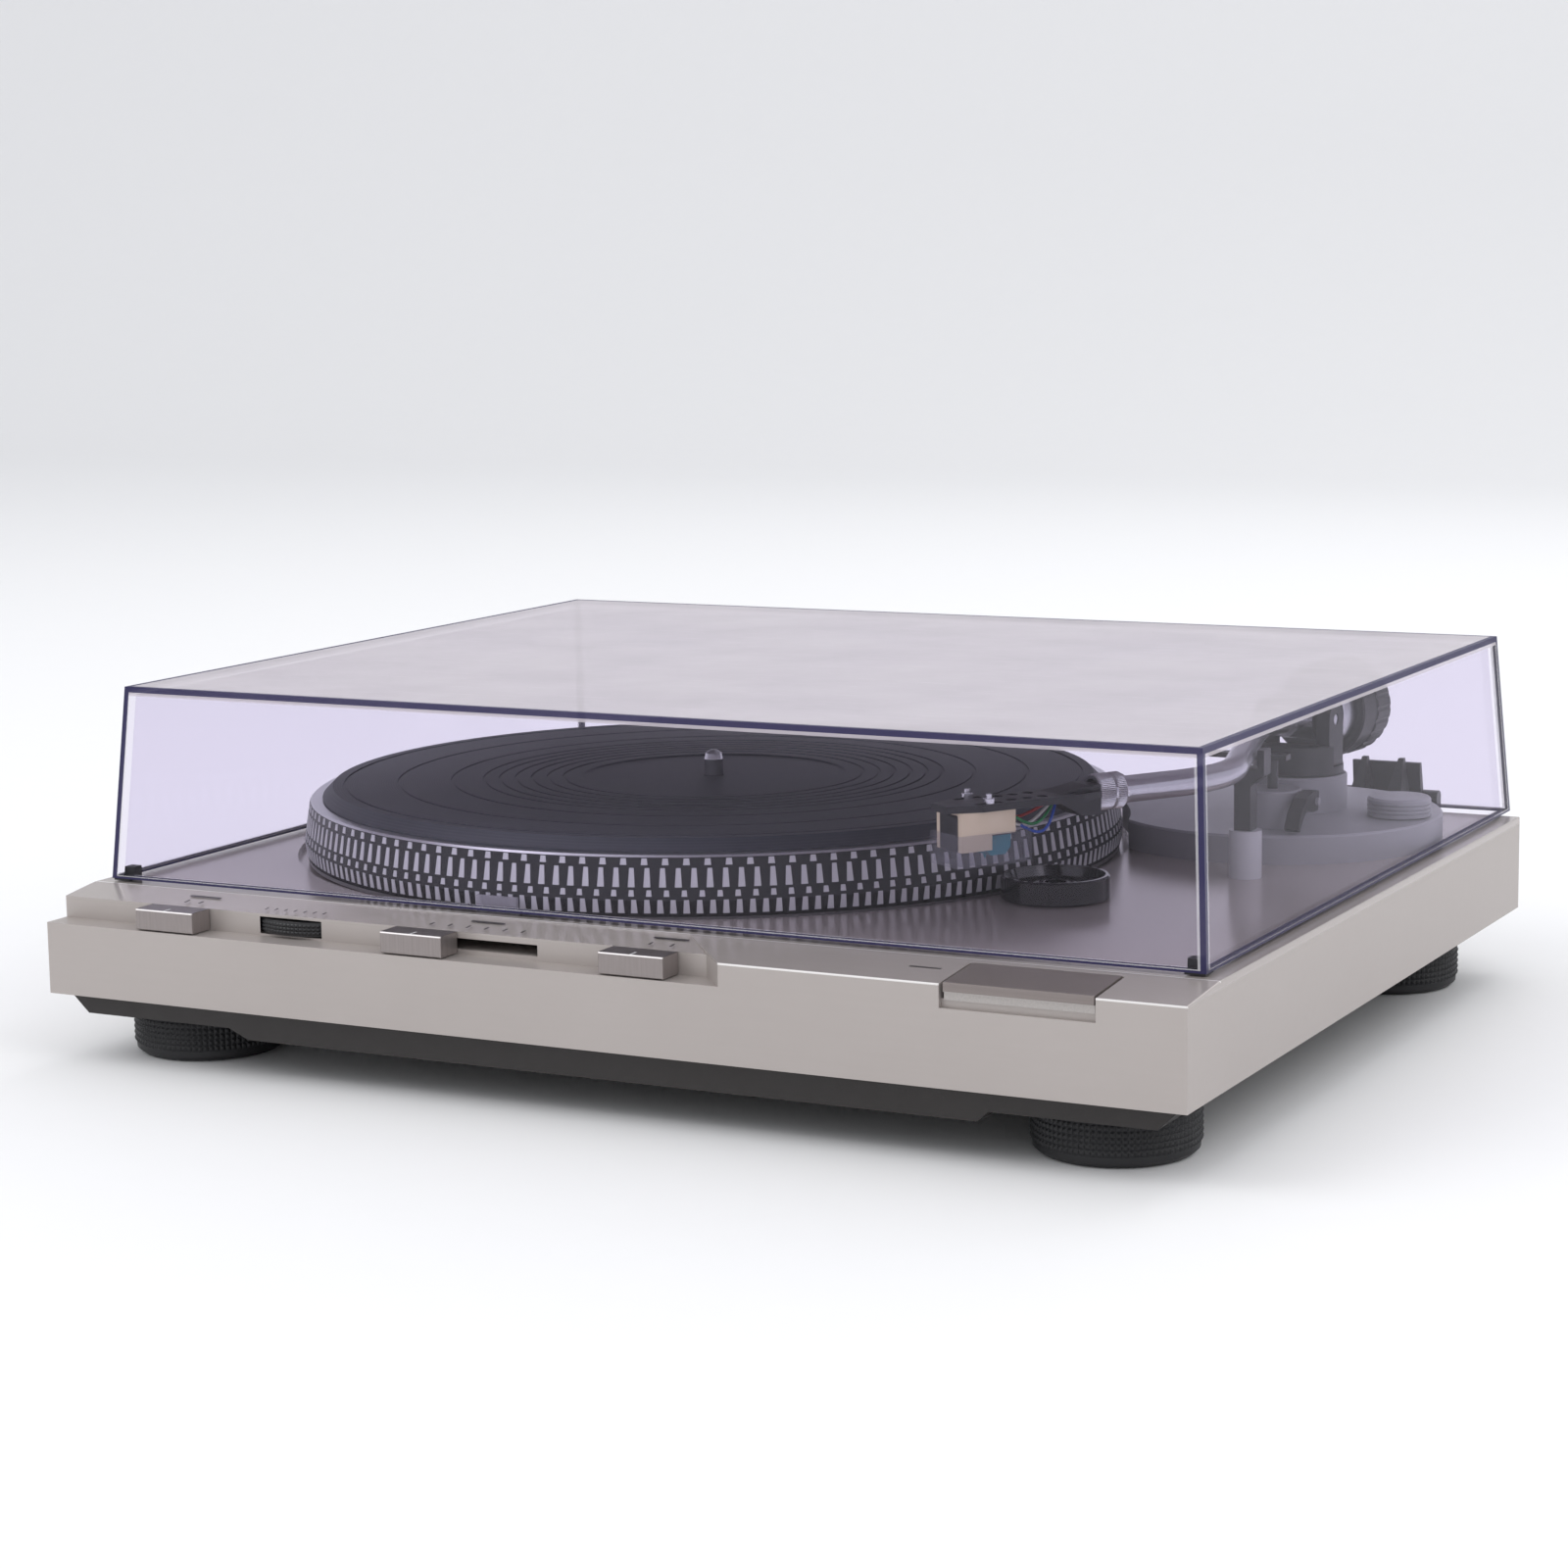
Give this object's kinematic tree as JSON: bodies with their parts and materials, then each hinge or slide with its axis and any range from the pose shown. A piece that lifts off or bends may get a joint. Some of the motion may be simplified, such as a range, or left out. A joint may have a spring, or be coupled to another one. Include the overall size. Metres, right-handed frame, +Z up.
{
  "type": "turntable record player",
  "caption": "Automatic direct-drive turntable: bevelled cabinet on round feet, strobe-edged platter, S-shaped tonearm and a clear hinged dust cover.",
  "frame": {"origin": "on the floor under the middle of the whole player", "axes": "+X to the right seen from the front, +Y to the back, +Z up"},
  "size_m": [0.43, 0.3678, 0.13],
  "materials": {
    "silver": "satin",
    "tray": "matte",
    "rubber": "matte",
    "mat": "matte",
    "alloy": "satin",
    "steel": "satin",
    "chrome": "polished",
    "acrylic": "gloss",
    "clear": "gloss",
    "grey": "satin",
    "black": "matte",
    "black_metal": "matte",
    "knob": "satin",
    "cream": "matte",
    "teal": "matte",
    "board": "matte",
    "iron": "matte"
  },
  "bodies": {
    "chassis": {"cabinet": "silver", "base_tray": "tray", "arm_platform": "grey", "arm_tower": "grey", "lift_cylinder": "grey", "rest_base": "grey", "rest_post": "black", "strobe_prism": "clear", "motor_stator": "iron", "bearing_housing": "steel", "power_transformer": "iron", "control_board": "board", "board_pillars": "grey", "pitch_potentiometer": "alloy", "hinge_bracket_left": "black", "hinge_bracket_right": "black", "mains_gland": "black", "phono_gland": "black", "ground_terminal": "chrome", "foot_studs": "steel"},
    "platter": {"platter": "alloy", "mat": "mat", "spindle": "chrome", "rotor_magnet": "iron"},
    "lid": {"dust_cover": "acrylic", "lid_bumpers": "rubber", "hinge_leaf_left": "black", "hinge_leaf_right": "black", "hinge_bar_left": "black", "hinge_bar_right": "black"},
    "arm_swivel": {"gimbal_yoke": "black_metal", "yaw_shaft": "steel"},
    "arm": {"pivot_block": "alloy", "rear_stub": "alloy", "arm_tube": "alloy", "headshell": "black_metal", "cartridge_body": "cream", "stylus_holder": "teal", "cartridge_screws": "chrome", "stylus_guard": "clear"},
    "collar": {"lock_collar": "chrome"},
    "weight": {"counterweight": "black_metal", "pressure_dial": "alloy"},
    "cue_lever": {"cue_lever": "black"},
    "lift": {"lift_platform": "black"},
    "anti_skate": {"anti_skate_dial": "grey"},
    "speed_slider": {"speed_selector": "knob"},
    "repeat_slider": {"repeat_selector": "knob"},
    "size_slider": {"size_selector": "knob"},
    "pitch_wheel": {"pitch_wheel": "black"},
    "start_key": {"start_button": "silver"},
    "adapter": {"ep_adapter": "black"},
    "foot_front_left": {"foot_front_left": "rubber"},
    "foot_front_right": {"foot_front_right": "rubber"},
    "foot_rear_left": {"foot_rear_left": "rubber"},
    "foot_rear_right": {"foot_rear_right": "rubber"}
  },
  "joints": [
    {"name": "platter_spin", "type": "hinge", "parent": "chassis", "child": "platter", "pos_m": [-0.049, 0.00658, 0.07], "axis": [0, 0, 1], "continuous": true},
    {"name": "lid_hinge", "type": "hinge", "parent": "chassis", "child": "lid", "pos_m": [0, 0.18108, 0.064], "axis": [-1, 0, 0], "range_deg": [0, 60]},
    {"name": "arm_swing", "type": "hinge", "parent": "chassis", "child": "arm_swivel", "pos_m": [0.149, 0.10308, 0.09], "axis": [0, 0, -1], "range_deg": [0, 44]},
    {"name": "arm_lift", "type": "hinge", "parent": "arm_swivel", "child": "arm", "pos_m": [0.149, 0.10308, 0.1046], "axis": [-0.994, 0.109, 0], "range_deg": [0, 3]},
    {"name": "collar_turn", "type": "hinge", "parent": "arm", "child": "collar", "pos_m": [0.14954, -0.08752, 0.1046], "axis": [-0.5417, -0.8406, 0], "range_deg": [0, 60]},
    {"name": "weight_turn", "type": "hinge", "parent": "arm", "child": "weight", "pos_m": [0.149, 0.10308, 0.1046], "axis": [0.109, 0.994, 0], "continuous": true},
    {"name": "cue_lever_turn", "type": "hinge", "parent": "chassis", "child": "cue_lever", "pos_m": [0.1681, 0.06108, 0.08], "axis": [-1, 0, 0], "range_deg": [0, 38]},
    {"name": "lift_slide", "type": "slide", "parent": "chassis", "child": "lift", "axis": [0, 0, 1], "range_m": [0, 0.00245]},
    {"name": "anti_skate_turn", "type": "hinge", "parent": "chassis", "child": "anti_skate", "pos_m": [0.1905, 0.09708, 0.073], "axis": [0, 0, 1], "range_deg": [0, 270]},
    {"name": "speed_slide", "type": "slide", "parent": "chassis", "child": "speed_slider", "axis": [1, 0, 0], "range_m": [0, 0.0055]},
    {"name": "repeat_slide", "type": "slide", "parent": "chassis", "child": "repeat_slider", "axis": [1, 0, 0], "range_m": [0, 0.036]},
    {"name": "size_slide", "type": "slide", "parent": "chassis", "child": "size_slider", "axis": [1, 0, 0], "range_m": [0, 0.0055]},
    {"name": "pitch_wheel_turn", "type": "hinge", "parent": "chassis", "child": "pitch_wheel", "pos_m": [-0.1178, -0.15192, 0.05], "axis": [0, 0, 1], "range_deg": [-60, 60]},
    {"name": "start_press", "type": "slide", "parent": "chassis", "child": "start_key", "axis": [0, 0, -1], "range_m": [0, 0.0022], "stiffness_N_per_m": 400, "springref_m": -0.001},
    {"name": "adapter_lift_off", "type": "slide", "parent": "chassis", "child": "adapter", "axis": [0, 0, 1], "range_m": [0, 0.03]},
    {"name": "foot_front_left_turn", "type": "hinge", "parent": "chassis", "child": "foot_front_left", "pos_m": [-0.1757, -0.14322, 0.01], "axis": [0, 0, 1], "continuous": true},
    {"name": "foot_front_right_turn", "type": "hinge", "parent": "chassis", "child": "foot_front_right", "pos_m": [0.1757, -0.14322, 0.01], "axis": [0, 0, 1], "continuous": true},
    {"name": "foot_rear_left_turn", "type": "hinge", "parent": "chassis", "child": "foot_rear_left", "pos_m": [-0.1757, 0.12908, 0.01], "axis": [0, 0, 1], "continuous": true},
    {"name": "foot_rear_right_turn", "type": "hinge", "parent": "chassis", "child": "foot_rear_right", "pos_m": [0.1757, 0.12908, 0.01], "axis": [0, 0, 1], "continuous": true}
  ],
  "couplings": [
    {"joint": "cue_lever_turn", "follows": "lift_slide", "rad_per_m": 270}
  ]
}
